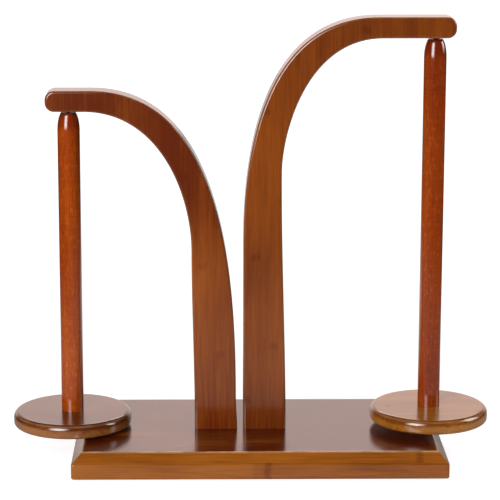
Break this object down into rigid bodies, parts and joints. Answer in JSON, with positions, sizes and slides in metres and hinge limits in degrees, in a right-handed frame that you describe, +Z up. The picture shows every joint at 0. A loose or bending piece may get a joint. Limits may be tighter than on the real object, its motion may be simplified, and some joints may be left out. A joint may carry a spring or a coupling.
{
  "type": "spool holder stand",
  "caption": "Free-standing wooden yarn holder: bent arms on a bevelled base board carry magnet-hung spindles whose discs turn as the yarn is drawn off.",
  "frame": {"origin": "on the floor, midway between the axes of the hanging spindles, under the middle of the base's depth", "axes": "+X along the base from the short arm's side to the tall arm's side, +Y from front to back, +Z up"},
  "size_m": [0.323, 0.134, 0.2983],
  "materials": {
    "base_bamboo": "stained laminated bamboo under gloss lacquer",
    "arm_bamboo": "stained laminated bamboo under gloss lacquer",
    "disc_bamboo": "stained laminated bamboo under gloss lacquer",
    "rod_beech": "stained beech dowel under gloss lacquer",
    "ball_steel": "polished bearing steel",
    "magnet_nickel": "nickel plate",
    "screw_steel": "zinc plated",
    "foot_rubber": "matt"
  },
  "bodies": {
    "stand": {"base_board": "base_bamboo", "front_left_foot": "foot_rubber", "front_right_foot": "foot_rubber", "rear_left_foot": "foot_rubber", "rear_right_foot": "foot_rubber", "short_arm": "arm_bamboo", "short_arm_screws": "screw_steel", "short_arm_magnet": "magnet_nickel", "tall_arm": "arm_bamboo", "tall_arm_screws": "screw_steel", "tall_arm_magnet": "magnet_nickel"},
    "short_ball": {"short_tip_ball": "ball_steel"},
    "short_pivot": {"short_tip_magnet": "magnet_nickel"},
    "short_spindle": {"short_rod": "rod_beech", "short_disc": "disc_bamboo", "short_disc_screw": "screw_steel"},
    "tall_ball": {"tall_tip_ball": "ball_steel"},
    "tall_pivot": {"tall_tip_magnet": "magnet_nickel"},
    "tall_spindle": {"tall_rod": "rod_beech", "tall_disc": "disc_bamboo", "tall_disc_screw": "screw_steel"}
  },
  "joints": [
    {"name": "short_release", "type": "slide", "parent": "stand", "child": "short_ball", "axis": [0, -1, 0], "range_m": [0, 0.15]},
    {"name": "short_swing", "type": "hinge", "parent": "short_ball", "child": "short_pivot", "pos_m": [-0.1215, 0, 0.2328], "axis": [1, 0, 0], "range_deg": [-2.5, 2.5]},
    {"name": "short_spin", "type": "hinge", "parent": "short_pivot", "child": "short_spindle", "pos_m": [-0.1215, 0, 0.2328], "axis": [0, 0, 1], "continuous": true},
    {"name": "tall_release", "type": "slide", "parent": "stand", "child": "tall_ball", "axis": [0, -1, 0], "range_m": [0, 0.15]},
    {"name": "tall_swing", "type": "hinge", "parent": "tall_ball", "child": "tall_pivot", "pos_m": [0.1215, 0, 0.2812], "axis": [1, 0, 0], "range_deg": [-8, 8]},
    {"name": "tall_spin", "type": "hinge", "parent": "tall_pivot", "child": "tall_spindle", "pos_m": [0.1215, 0, 0.2812], "axis": [0, 0, 1], "continuous": true}
  ]
}
